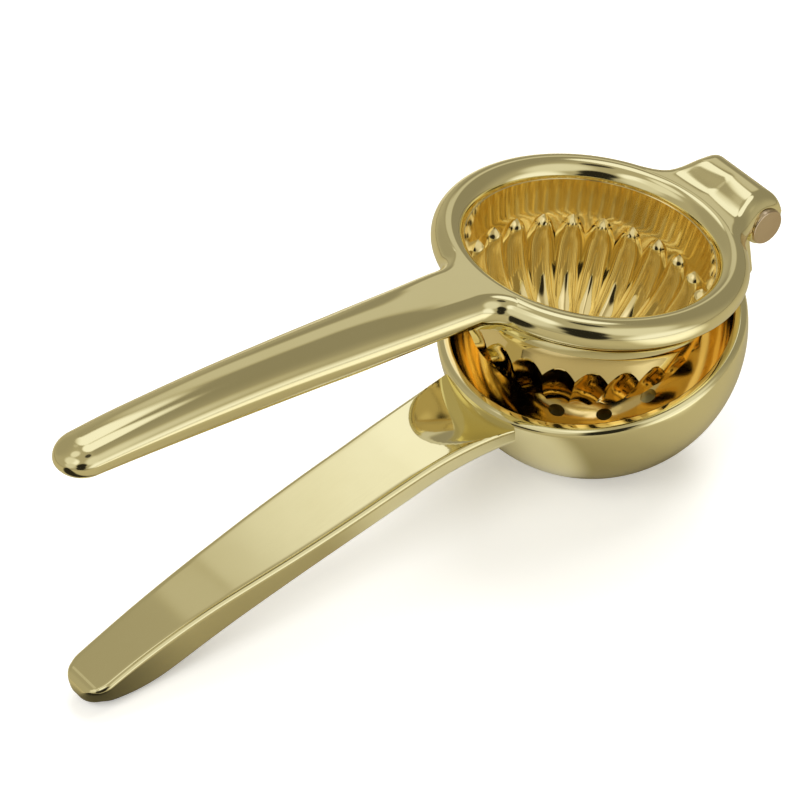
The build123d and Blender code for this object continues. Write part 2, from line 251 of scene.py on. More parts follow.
class Shell:
    """Points and faces of one mesh while it is drawn."""

    def __init__(self) -> None:
        """Start with nothing."""
        self.points: list[Triple] = []
        self.faces: list[tuple[int, ...]] = []

    def ring(self, points: Sequence[Sequence[float]]) -> list[int]:
        """Add a row of points and return their numbers."""
        start = len(self.points)
        self.points += [tuple(point) for point in points]
        return list(range(start, len(self.points)))

    def skin(self, rings: list[list[int]], closed: bool = False) -> "Shell":
        """Add the faces between closed rows in turn, and from the last to the first if closed."""
        for near, far in zip(rings, rings[1:] + (rings[:1] if closed else [])):
            for k in range(len(near)):
                j = (k + 1) % len(near)
                corners = tuple(dict.fromkeys((near[k], near[j], far[j], far[k])))
                if len(corners) > 2:
                    self.faces.append(corners)
        return self

    def loft(self, rows: Sequence[Sequence[Sequence[float]]]) -> "Shell":
        """Add a closed tube through rows of points, with a face at each end."""
        rings = [self.ring(row) for row in rows]
        self.skin(rings)
        self.faces += [tuple(rings[0]), tuple(reversed(rings[-1]))]
        return self

    def fan(self, rows: Sequence[Sequence[Sequence[float]]], ends: Sequence[int]) -> "Shell":
        """Add a closed tube through mirrored sections, with a curved strip over the named ends."""
        rings = [self.ring(row) for row in rows]
        self.skin(rings)
        for ring in (rings[end] for end in ends):
            count = len(ring)
            for k in range(count // 4):
                strip = (k, k + 1, count // 2 - k - 1, count // 2 - k)
                self.faces.append(tuple(ring[j] for j in strip))
                self.faces.append(tuple(ring[(count - j) % count] for j in strip))
        return self

    def lathe(self, profile: list[Pair], segments: int, closed: bool = False) -> "Shell":
        """Add a profile of radius and height turned round the Z axis."""
        angles = [2 * pi * k / segments for k in range(segments)]
        rings = []
        for radius, height in profile:
            if radius < SAME:
                rings.append(self.ring([(0, 0, height)]) * segments)
            else:
                rings.append(self.ring([(radius * cos(a), radius * sin(a), height) for a in angles]))
        return self.skin(rings, closed)

    def mesh(self, name: str) -> bpy.types.Mesh:
        """Mesh with doubles merged and its faces outwards."""
        mesh = bpy.data.meshes.new(name)
        mesh.from_pydata(self.points, [], self.faces)
        tidy(mesh)
        return mesh


def tidy(mesh: bpy.types.Mesh) -> None:
    """Merge doubles and turn the faces outwards."""
    work = bmesh.new()
    work.from_mesh(mesh)
    bmesh.ops.remove_doubles(work, verts=work.verts, dist=WELD)
    bmesh.ops.recalc_face_normals(work, faces=work.faces)
    work.to_mesh(mesh)
    work.free()


def placed(name: str, mesh: bpy.types.Mesh) -> Piece:
    """Object at the origin that holds a mesh."""
    piece = bpy.data.objects.new(name, mesh)
    bpy.context.scene.collection.objects.link(piece)
    return piece


def evaluated(piece: Piece) -> Piece:
    """Turn a piece's modifiers into plain mesh."""
    view = bpy.context.evaluated_depsgraph_get()
    mesh = bpy.data.meshes.new_from_object(piece.evaluated_get(view), depsgraph=view)
    piece.modifiers.clear()
    piece.data = mesh
    return piece


def carve(piece: Piece, cutters: Sequence[Piece], solver: str = "EXACT") -> Piece:
    """Take closed shapes out of a piece and delete them."""
    for cutter in cutters:
        cut = piece.modifiers.new("carve", "BOOLEAN")
        cut.operation = "DIFFERENCE"
        cut.solver = solver
        cut.object = cutter
    evaluated(piece)
    for cutter in cutters:
        bpy.data.objects.remove(cutter)
    return piece


def box_shape(low: Triple, high: Triple) -> Piece:
    """Plain closed box, used only as a cutter."""
    plan = ((low[0], low[1]), (high[0], low[1]), (high[0], high[1]), (low[0], high[1]))
    rows = [[(x, y, z) for x, y in plan] for z in (low[2], high[2])]
    return placed("cutter", Shell().loft(rows).mesh("cutter"))


def rod_shape(x: float, z: float, radius: float, half: float, segments: int = 64) -> Piece:
    """Closed rod across the tool, used only as a cutter."""
    angles = [2 * pi * k / segments for k in range(segments)]
    rows = [[(x + radius * cos(a), y, z + radius * sin(a)) for a in angles] for y in (-half, half)]
    return placed("cutter", Shell().loft(rows).mesh("cutter"))


# ------------------------------------------------------------------ node trees
def feed(tree: Tree, node: Node, values: dict) -> Node:
    """Give a node its inputs.

    Args:
        tree: Tree of the node.
        node: Node that is fed.
        values: Input name or number to a value, or to the socket or node (its first output) it comes from.

    Returns:
        The same node.
    """
    for key, value in values.items():
        if isinstance(value, Node):
            value = value.outputs[0]
        if isinstance(value, Socket):
            tree.links.new(value, node.inputs[key])
        else:
            node.inputs[key].default_value = value
    return node


def wire(tree: Tree, kind: str, values: dict | None = None, **settings: object) -> Node:
    """Add a node to a tree.

    Args:
        tree: Tree that gets the node.
        kind: Node type.
        values: What it is fed, as in feed.
        **settings: Properties of the node.

    Returns:
        The new node.
    """
    node = tree.nodes.new(kind)
    for key, value in settings.items():
        setattr(node, key, value)
    return feed(tree, node, values or {})


def maths(tree: Tree, operation: str, *values: object, kind: str = "ShaderNodeMath") -> Node:
    """Add a node that calculates with numbers, or with vectors if its kind says so."""
    return wire(tree, kind, dict(enumerate(values)), operation=operation)


def noise(tree: Tree, place: object, scale: float, detail: float, roughness: float = 0.5) -> Node:
    """Add a noise texture."""
    values = {"Vector": place, "Scale": scale, "Detail": detail, "Roughness": roughness}
    return wire(tree, "ShaderNodeTexNoise", values)


def mixed(tree: Tree, share: object, first: object, second: object) -> Socket:
    """Colour mixed from two by a share."""
    return wire(tree, "ShaderNodeMix", {0: share, 6: first, 7: second}, data_type="RGBA").outputs[2]


def group_with(name: str, kind: str, inputs: dict[str, str], outputs: dict[str, str]) -> tuple:
    """Node group with named inputs and outputs and nothing between them.

    Args:
        name: Name of the group.
        kind: Type of tree.
        inputs: Input name to what its socket holds.
        outputs: Output name to what its socket holds.

    Returns:
        The tree, the sockets that bring its inputs, and the node that takes its outputs.
    """
    tree = bpy.data.node_groups.new(name, kind)
    for way, sockets in (("INPUT", inputs), ("OUTPUT", outputs)):
        for label, holds in sockets.items():
            tree.interface.new_socket(label, in_out=way, socket_type="NodeSocket" + holds)
    return tree, tree.nodes.new("NodeGroupInput").outputs, tree.nodes.new("NodeGroupOutput")


def shape_tree(name: str, inputs: dict[str, str]) -> tuple:
    """Geometry tree that takes and gives a shape, with a material and more named inputs."""
    inputs = {"Geometry": "Geometry", **inputs, "Material": "Material"}
    return group_with(name, "GeometryNodeTree", inputs, {"Geometry": "Geometry"})


def turned_copies(tree: Tree, shape: object, count: Socket, start: Socket) -> Node:
    """Copies of a shape, evenly spaced round the Z axis.

    Args:
        tree: Geometry tree.
        shape: What is repeated.
        count: How many copies.
        start: Angle of the first copy.

    Returns:
        Node with the copies as instances.
    """
    points = wire(tree, "GeometryNodePoints", {"Count": count})
    share = maths(tree, "DIVIDE", wire(tree, "GeometryNodeInputIndex"), count)
    euler = wire(tree, "ShaderNodeCombineXYZ", {"Z": maths(tree, "MULTIPLY_ADD", share, 2 * pi, start)})
    turn = wire(tree, "FunctionNodeEulerToRotation", {0: euler})
    return wire(tree, "GeometryNodeInstanceOnPoints", {"Points": points, "Instance": shape, "Rotation": turn})


def flute_tree() -> Tree:
    """Tree that repeats one flute's wedge of wall into a whole cup."""
    tree, given, result = shape_tree("flutes_round_axis", {"Count": "Int", "Start": "Float", "Seam": "Float"})
    copies = turned_copies(tree, given["Geometry"], given["Count"], given["Start"])
    real = wire(tree, "GeometryNodeRealizeInstances", {"Geometry": copies})
    sewn = wire(tree, "GeometryNodeMergeByDistance", {"Geometry": real, "Distance": given["Seam"]})
    coat = wire(tree, "GeometryNodeSetMaterial", {"Geometry": sewn, "Material": given["Material"]})
    feed(tree, result, {0: coat})
    return tree


def drain_tree(vertices: int = 48) -> Tree:
    """Tree that drills a centre hole and a ring of holes along the Z axis."""
    tree, given, result = shape_tree("drain_holes", {
        "Hole Radius": "Float", "Ring Radius": "Float", "Count": "Int", "Start": "Float", "Depth": "Float"})
    sizes = {"Vertices": vertices, "Radius": given["Hole Radius"], "Depth": given["Depth"]}
    drill = wire(tree, "GeometryNodeMeshCylinder", sizes)
    below = wire(tree, "ShaderNodeCombineXYZ", {"Z": maths(tree, "MULTIPLY", given["Depth"], -1.0)})
    middle = wire(tree, "GeometryNodeTransform", {"Geometry": drill, "Translation": below})
    out = wire(tree, "ShaderNodeCombineXYZ", {"X": given["Ring Radius"]})
    aside = wire(tree, "GeometryNodeTransform", {"Geometry": middle, "Translation": out})
    bits = wire(tree, "GeometryNodeJoinGeometry")
    for bit in (turned_copies(tree, aside, given["Count"], given["Start"]), middle):
        feed(tree, bits, {0: bit})
    solid = wire(tree, "GeometryNodeRealizeInstances", {"Geometry": bits})
    cut = wire(tree, "GeometryNodeMeshBoolean", {0: given["Geometry"], 1: solid},
               operation="DIFFERENCE", solver="EXACT")
    real = wire(tree, "GeometryNodeRealizeInstances", {"Geometry": cut})
    coat = wire(tree, "GeometryNodeSetMaterial", {"Geometry": real, "Material": given["Material"]})
    feed(tree, result, {0: coat})
    return tree


def grown(piece: Piece, tree: Tree, values: dict[str, object]) -> Piece:
    """Run a geometry tree on a piece and keep the plain mesh.

    Args:
        piece: Piece whose mesh is the tree's input.
        tree: Geometry tree.
        values: Input name to value.

    Returns:
        The same piece.
    """
    modifier = piece.modifiers.new(tree.name, "NODES")
    modifier.node_group = tree
    for item in tree.interface.items_tree:
        if item.in_out == "INPUT" and item.name in values:
            modifier[item.identifier] = values[item.name]
    return evaluated(piece)


# ------------------------------------------------------------------ finishes
@dataclass(frozen=True)
class Wear:
    """Wear of polished metal: scales of its textures, per metre, and where the clouds lie."""

    cloud: float = 34.0
    cloud_range: Pair = (0.42, 0.72)
    cloud_share: float = 0.5
    hair_turn: Triple = (0.3, 0.2, 0.5)
    hair_scale: Triple = (60.0, 2600.0, 700.0)
    smudge: float = 120.0
    wave: float = 55.0

    def group(self) -> Tree:
        """Shader group: clouded tint, uneven gloss, hairlines and slight waves."""
        group, given, result = group_with("worn_polish", "ShaderNodeTree", {
            "Tint": "Color", "Deep Tint": "Color", "Gloss": "Float",
            "Gloss Spread": "Float", "Hairline Depth": "Float", "Wave Depth": "Float",
        }, {"Color": "Color", "Roughness": "Float", "Normal": "Vector"})
        place = wire(group, "ShaderNodeTexCoord").outputs["Object"]
        cloud = noise(group, place, self.cloud, 4.0, 0.6)
        low, high = self.cloud_range
        soft = wire(group, "ShaderNodeMapRange",
                    {"Value": cloud, 1: low, 2: high, 3: 0.0, 4: self.cloud_share})
        lines = wire(group, "ShaderNodeMapping",
                     {"Vector": place, "Rotation": self.hair_turn, "Scale": self.hair_scale})
        hair = noise(group, lines, 1.0, 3.0)
        spread = maths(group, "MULTIPLY", noise(group, place, self.smudge, 6.0, 0.7), hair)
        waves = noise(group, place, self.wave, 1.0)
        rolling = wire(group, "ShaderNodeBump",
                       {"Strength": 1.0, "Distance": given["Wave Depth"], "Height": waves})
        fine = wire(group, "ShaderNodeBump",
                    {"Strength": 1.0, "Distance": given["Hairline Depth"], "Height": hair, "Normal": rolling})
        feed(group, result, {
            "Color": mixed(group, soft, given["Tint"], given["Deep Tint"]),
            "Roughness": maths(group, "MULTIPLY_ADD", spread, given["Gloss Spread"], given["Gloss"]),
            "Normal": fine,
        })
        return group


def bounce_paint_group(edge: float = 0.0006) -> Tree:
    """Shader group that marks what lies within a sphere, with a soft edge inside it; it places the painted
    amber bounce light inside the bowl.
    """
    group, given, result = group_with(
        "within_hollow", "ShaderNodeTree", {"Centre": "Vector", "Radius": "Float"}, {"Mask": "Float"})
    place = wire(group, "ShaderNodeTexCoord").outputs["Object"]
    away = maths(group, "DISTANCE", place, given["Centre"], kind="ShaderNodeVectorMath").outputs["Value"]
    start = maths(group, "SUBTRACT", given["Radius"], edge)
    mask = wire(group, "ShaderNodeMapRange", {"Value": away, 1: start, 2: given["Radius"], 3: 1.0, 4: 0.0})
    feed(group, result, {"Mask": mask})
    return group


@dataclass(frozen=True)
class PaintedBounce:
    """Painted bounce light: a deeper amber tint inside a round hollow, standing in for light reflected round
    and round inside the bowl.
    """

    centre: Triple
    radius: float
    tint: Triple


@dataclass(frozen=True)
class Polish:
    """Polished metal finish."""

    name: str
    slot: Slot
    tint: Triple
    deep: Triple
    gloss: float = 0.05
    spread: float = 0.10
    hairline: float = 0.0000006
    wave: float = 0.00002
    # Painted amber bounce light inside a hollow, if the finish has one.
    hollow: PaintedBounce | None = None

    def material(self, group: Tree, bounce_paint_tree: Tree) -> bpy.types.Material:
        """Build the material.

        Args:
            group: The shared group of worn polish.
            bounce_paint_tree: The shared group that marks the hollow where bounce light is painted.

        Returns:
            The material.
        """
        material = bpy.data.materials.new(self.name)
        material.use_nodes = True
        tree = material.node_tree
        worn = wire(tree, "ShaderNodeGroup", {
            "Tint": (*self.tint, 1.0), "Deep Tint": (*self.deep, 1.0), "Gloss": self.gloss,
            "Gloss Spread": self.spread, "Hairline Depth": self.hairline, "Wave Depth": self.wave,
        }, node_tree=group)
        colour = worn.outputs["Color"]
        # Painted light: inside the hollow the colour turns a deeper amber that stands in for light bouncing
        # round the bowl.
        if self.hollow:
            sphere = {"Centre": self.hollow.centre, "Radius": self.hollow.radius}
            inside = wire(tree, "ShaderNodeGroup", sphere, node_tree=bounce_paint_tree)
            colour = mixed(tree, inside, colour, (*self.hollow.tint, 1.0))
        feed(tree, tree.nodes["Principled BSDF"], {
            "Metallic": 1.0, "Base Color": colour,
            "Roughness": worn.outputs["Roughness"], "Normal": worn.outputs["Normal"],
        })
        return material


PALE = ((0.92, 0.85, 0.52), (0.88, 0.80, 0.46))
# Painted bounce light: the bowl's inside gets a deeper amber tint for the light reflected round inside it.
BOWL_PAINTED_BOUNCE = PaintedBounce(tuple(STANCE.lower() @ Vector((0.0, 0.0, -1.6))), 0.0354, (0.96, 0.75, 0.33))
PALE_GOLD = Polish("pale_gold_plate", Slot.UPPER, *PALE)
LOWER_GOLD = Polish("pale_gold_plate_lower", Slot.LOWER, *PALE, hollow=BOWL_PAINTED_BOUNCE)
CUP_GOLD = Polish("rich_gold_plate", Slot.CUP, (0.94, 0.79, 0.41), (0.91, 0.72, 0.33),
                  hairline=0.0000002, wave=0.000008)
PIN_COPPER = Polish("rivet_copper", Slot.PIN, (0.66, 0.53, 0.37), (0.46, 0.33, 0.21), gloss=0.16, spread=0.2)
WASHER_STEEL = Polish("dull_washer", Slot.WASHER, (0.45, 0.36, 0.24), (0.36, 0.27, 0.17),
                      gloss=0.2, spread=0.2)


def finish_piece(piece: Piece, arm: Arm, material: bpy.types.Material,
                 nodes: Sequence[str], crease: float = 32.0) -> Piece:
    """Lay a piece down, smooth it and tie it to its body.

    Args:
        piece: Piece drawn in the frame of the closed tool.
        arm: Body it rides on.
        material: Its finish.
        nodes: CAD nodes it stands for.
        crease: Degrees past which an edge stays sharp.

    Returns:
        The same piece.
    """
    mesh = piece.data
    mesh.transform(STANCE.of(arm))
    mesh.materials.clear()
    mesh.materials.append(material)
    mesh.polygons.foreach_set("use_smooth", [True] * len(mesh.polygons))
    mesh.set_sharp_from_angle(angle=radians(crease))
    mesh.update()
    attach(piece, arm.value)
    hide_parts(*nodes)
    log.info("%s: %d faces", piece.name, len(mesh.polygons))
    return piece


# ------------------------------------------------------------------ lower arm
@dataclass
class StrainerBowl:
    """Half-round bowl with a rounded rim and drain holes."""

    outer: float = 37.0
    outer_drop: float = 2.2
    inner: float = 33.8
    inner_drop: float = 1.0
    rim_round: float = 1.8
    lip_round: float = 0.5
    hole_radius: float = 1.95
    hole_ring: float = 11.4
    hole_count: int = 9
    hole_start: float = -23.5
    drill: float = 30.0
    ground: Triple = (90.0, 60.0, 40.0)
    segments: int = 256
    rim_steps: int = 14
    lip_steps: int = 8
    wall_steps: int = 56
    cutter_steps: int = 48

    def rim(self) -> list[Pair]:
        """Rounded top edge from the outer wall to the inner one."""
        r, drop = self.rim_round, self.outer_drop
        reach = sqrt((self.outer - r) ** 2 - (drop - r) ** 2)
        wall = (reach * self.outer / (self.outer - r), (drop - r) * self.outer / (self.outer - r) - drop)
        lean = atan2(wall[1] + r, wall[0] - reach) / 2 + pi / 4
        outside = arc(wall, (reach + r * cos(lean), -r + r * sin(lean)), (reach, 0.0), self.rim_steps)
        q, dip = self.lip_round, self.inner_drop
        inside = sqrt((self.inner + q) ** 2 - (dip - q) ** 2)
        meet = (inside * self.inner / (self.inner + q), (dip - q) * self.inner / (self.inner + q) - dip)
        turn = atan2(meet[1] + q, meet[0] - inside)
        lean = (turn % (2 * pi) + pi / 2) / 2
        roll = arc((inside, 0.0), (inside + q * cos(lean), -q + q * sin(lean)), meet, self.lip_steps)
        return joined(outside, roll)

    def wall(self, radius: float, drop: float, start: Pair, steps: int) -> list[Pair]:
        """Points of a sphere's meridian from a start point down to the pole."""
        first = atan2(start[1] + drop, start[0])
        angles = [first + (-pi / 2 - first) * k / steps for k in range(steps)]
        line = [(abs(radius * cos(a)), radius * sin(a) - drop) for a in angles]
        return line + [(0.0, -radius - drop)]

    def envelope(self) -> Piece:
        """Closed outer form, used to cut what meets the bowl."""
        rim = self.rim()
        wall = self.wall(self.outer, self.outer_drop, rim[0], self.cutter_steps)
        profile = joined([(0.0, 0.0)], list(reversed(rim[:self.rim_steps + 1])), wall)
        return placed("cutter", Shell().lathe(profile, self.segments).mesh("cutter"))

    def build(self, material: bpy.types.Material) -> Piece:
        """Turn the bowl, drill it and grind its foot flat.

        Args:
            material: Finish of the bowl.

        Returns:
            The bowl in the drawing frame.
        """
        rim = self.rim()
        outside = list(reversed(self.wall(self.outer, self.outer_drop, rim[0], self.wall_steps)))
        inside = self.wall(self.inner, self.inner_drop, rim[-1], self.wall_steps)
        piece = placed("bowl", Shell().lathe(joined(outside, rim, inside), self.segments).mesh("bowl"))
        grown(piece, drain_tree(), {
            "Hole Radius": self.hole_radius, "Ring Radius": self.hole_ring, "Count": self.hole_count,
            "Start": radians(self.hole_start), "Depth": self.drill, "Material": material})
        x, y, z = self.ground
        ground = box_shape((-x, -y, -z), (x, y, 0))
        ground.data.transform(STANCE.lower().inverted() @ Matrix.Scale(MM, 4))
        return carve(piece, [ground])


@dataclass
class LowerHandle:
    """Tapering handle with a flat top face and a belly that rests on the table."""

    rows: tuple = (
        (-30.0, 14.0, 7.0), (-38.0, 12.4, 7.2), (-51.0, 11.0, 7.7), (-65.0, 10.5, 8.2), (-80.0, 10.25, 8.3),
        (-95.0, 9.7, 8.9), (-109.0, 8.8, 10.2), (-121.0, 8.0, 11.5),
    )
    tail_rows: tuple = ((-132.0, 7.45), (-138.0, 7.2), (-143.0, 7.05), (-147.5, 7.0), (-153.9, 7.0))
    top: float = 0.8
    root_bend: Pair = (-62.0, 140.0)
    tip_bend: Pair = (-112.0, 200.0)
    tip_x: float = -153.9
    nose: float = 3.0
    nose_corner: float = 6.0
    nose_face: float = 0.05
    belly_x: float = -132.0
    belly_height: float = -12.35
    belly_slope: float = 7.0
    belly_radius: float = 30.0
    scoop_radius: float = 24.0
    scoop_slope: float = 21.0
    scoop_depth: float = 4.0
    wall_x: float = -37.0
    top_round: float = 1.3
    low_round: float = 3.2
    inset: float = 1.2
    full_depth: float = 6.0
    full_half: float = 4.0
    least_size: float = 0.02
    least_foot: float = 0.3
    tip_room: float = 8.0
    tip_gap: float = 0.5
    tip_steps: int = 28
    corner_steps: int = 8
    side_steps: int = 20

    def height(self, x: float) -> float:
        """Height of the top face."""
        root = max(x - self.root_bend[0], 0.0)
        tip = max(self.tip_bend[0] - x, 0.0)
        return self.top - root**2 / (2 * self.root_bend[1]) - tip**2 / (2 * self.tip_bend[1])

    def under(self, x: float) -> float:
        """Height of the belly's arc."""
        slope = radians(self.belly_slope)
        cx = self.belly_x - self.belly_radius * sin(slope)
        cz = self.belly_height + self.belly_radius * cos(slope)
        return cz - sqrt(self.belly_radius**2 - (x - cx) ** 2)

    def stations(self) -> list[float]:
        """Places of the cross-sections, 1 mm apart and closer at the nose."""
        first = self.rows[0][0]
        plain = [first - k for k in range(int(first - self.tip_x - self.tip_room))]
        length = plain[-1] - self.tip_gap - self.tip_x
        return plain + [self.tip_x + length * (1 - sin(pi / 2 * k / self.tip_steps))
                        for k in range(self.tip_steps + 1)]

    def section(self, x: float) -> list[Triple]:
        """Cross-section at x, its edges rounded less where it is small."""
        depth_rows = list(self.rows) + [(p, w, self.height(p) - self.under(p)) for p, w in self.tail_rows]
        half = track(depth_rows, 1).at(x)
        top = self.height(x)
        low = self.under(x) if x < self.belly_x else top - track(depth_rows, 2).at(x)
        tip = max(x - self.tip_x, 0.0)
        if tip < self.nose_corner:
            half -= self.nose_corner * edge_drop(tip / self.nose_corner)
        if tip < self.nose:
            start = self.tip_x + self.nose
            high, deep = self.height(start), self.under(start)
            middle, rise = (high + deep) / 2, (high - deep) / 2
            radius = (rise**2 + self.nose**2) / (2 * self.nose)
            level = sqrt(max(radius**2 - (radius - tip) ** 2, 0.0)) + self.nose_face
            top, low = middle + level, middle - level
        size = max(min(1.0, (top - low) / self.full_depth, half / self.full_half), self.least_size)
        upper, lower = self.top_round * size, self.low_round * size
        foot = max(half - self.inset * size, self.least_foot)
        corners = [(half, top), (-half, top), (-foot, low), (foot, low)]
        points = rounded_outline(corners, [upper, upper, lower, lower], self.corner_steps, self.side_steps)
        return [(x, y, min(z, self.trough(x, y))) for y, z in points]

    def trough(self, x: float, y: float) -> float:
        """Height of the round hollow that runs down to the bowl."""
        lean = radians(self.scoop_slope)
        axis = self.scoop_radius - self.scoop_depth + (self.wall_x - x) * tan(lean)
        return axis - sqrt(self.scoop_radius**2 - y**2) / cos(lean)

    def build(self, bowl: StrainerBowl) -> Piece:
        """Loft the handle and trim it to the bowl's wall."""
        rows = [self.section(x) for x in self.stations()]
        return carve(placed("lower_grip", Shell().loft(rows).mesh("lower_grip")), [bowl.envelope()])


@dataclass
class HingeLug:
    """Bracket on the bowl's back with a round knuckle on the pin."""

    root: Pair = (29.0, -24.5)
    face: Pair = (43.5, -10.8)
    inner_x: float = 38.7
    skirt: float = -1.8
    radius: float = 4.9
    width: float = 16.0
    knuckle_end: float = 0.45
    knuckle_steps: int = 40
    edge: float = 0.4
    edge_steps: int = 3
    edge_angle: float = 35.0

    def build(self, bowl: StrainerBowl) -> Piece:
        """Draw the side view out to both sides, soften its edges and trim it to the bowl's wall."""
        hx, hz = STANCE.hinge_x, STANCE.hinge_z
        first = acos((hx - self.face[0]) / self.radius) - pi
        sweep = pi - self.knuckle_end - first
        turn = [first + sweep * k / self.knuckle_steps for k in range(self.knuckle_steps + 1)]
        knuckle = [(hx + self.radius * cos(a), hz + self.radius * sin(a)) for a in turn]
        outline = [self.root, self.face, *knuckle, (self.inner_x, self.skirt), (self.root[0], self.skirt)]
        half = self.width / 2
        rows = [[(x, y, z) for x, z in outline] for y in (-half, half)]
        piece = placed("lug", Shell().loft(rows).mesh("lug"))
        soft = piece.modifiers.new("soft_edges", "BEVEL")
        soft.width = self.edge
        soft.segments = self.edge_steps
        soft.limit_method = "ANGLE"
        soft.angle_limit = radians(self.edge_angle)
        evaluated(piece)
        return carve(piece, [bowl.envelope()])


# ------------------------------------------------------------------ press arm
@dataclass
class PressRing:
    """Rolled ring that carries the cup."""

    bore: float = 31.0
    lip: Pair = (29.8, 7.3)
    lip_thickness: float = 0.3
    crown: Pair = (33.2, 10.6)
    crown_way: Pair = (31.0, 9.45)
    shoulder_way: Pair = (36.5, 9.4)
    outer: Pair = (37.6, 6.5)
    roll_way: Pair = (37.1, 4.8)
    crease: Pair = (35.6, 3.7)
    cove_way: Pair = (33.1, 1.6)
    skirt: Pair = (31.8, -1.8)
    sink: float = 0.02
    level: float = 1.0
    segments: int = 288

    def outside(self) -> list[Pair]:
        """Outer line from the lip over the crown to the skirt."""
        return joined(
            arc(self.lip, self.crown_way, self.crown, 14),
            arc(self.crown, self.shoulder_way, self.outer, 18),
            arc(self.outer, self.roll_way, self.crease, 10),
            arc(self.crease, self.cove_way, self.skirt, 16),
        )

    def shoulder(self) -> Track:
        """Height of the crown by the distance in from the ring's outer edge, held a little past the crown."""
        line = arc(self.crown, self.shoulder_way, self.outer, 24)
        end = (self.outer[0] - self.crown[0] + self.level, self.crown[1])
        return track([(self.outer[0] - r, z) for r, z in line] + [end], 1)

    def inner_slope(self) -> Track:
        """Height of the crown's inside by the distance from the axis, just sunk."""
        return track([(r, z - self.sink) for r, z in arc(self.lip, self.crown_way, self.crown, 14)], 1)

    def limit(self, slope: Track, place: Pair) -> float:
        """Highest top of what grows out of the ring: under the crown's inside, free beyond the crown."""
        radius = hypot(*place)
        return slope.at(radius) if radius < self.crown[0] else inf

    def keel(self, lowest: float) -> Track:
        """Height of the underside by the distance in from the ring's outer edge, not under a lowest level."""
        roll = arc(self.outer, self.roll_way, self.crease, 12)
        line = joined(roll, arc(self.crease, self.cove_way, self.skirt, 16))
        return track([(self.outer[0] - r, max(z, lowest)) for r, z in line], 1)

    def build(self) -> Piece:
        """Turn the ring."""
        bottom, ledge = self.skirt[1], self.lip[1] - self.lip_thickness
        corners = [self.skirt, (self.bore, bottom), (self.bore, ledge), (self.lip[0], ledge), self.lip]
        bore = joined(*(run(a, b, steps) for a, b, steps in zip(corners, corners[1:], (2, 6, 2, 3))))
        profile = joined(self.outside(), bore[1:-1])
        return placed("ring", Shell().lathe(profile, self.segments, closed=True).mesh("ring"))


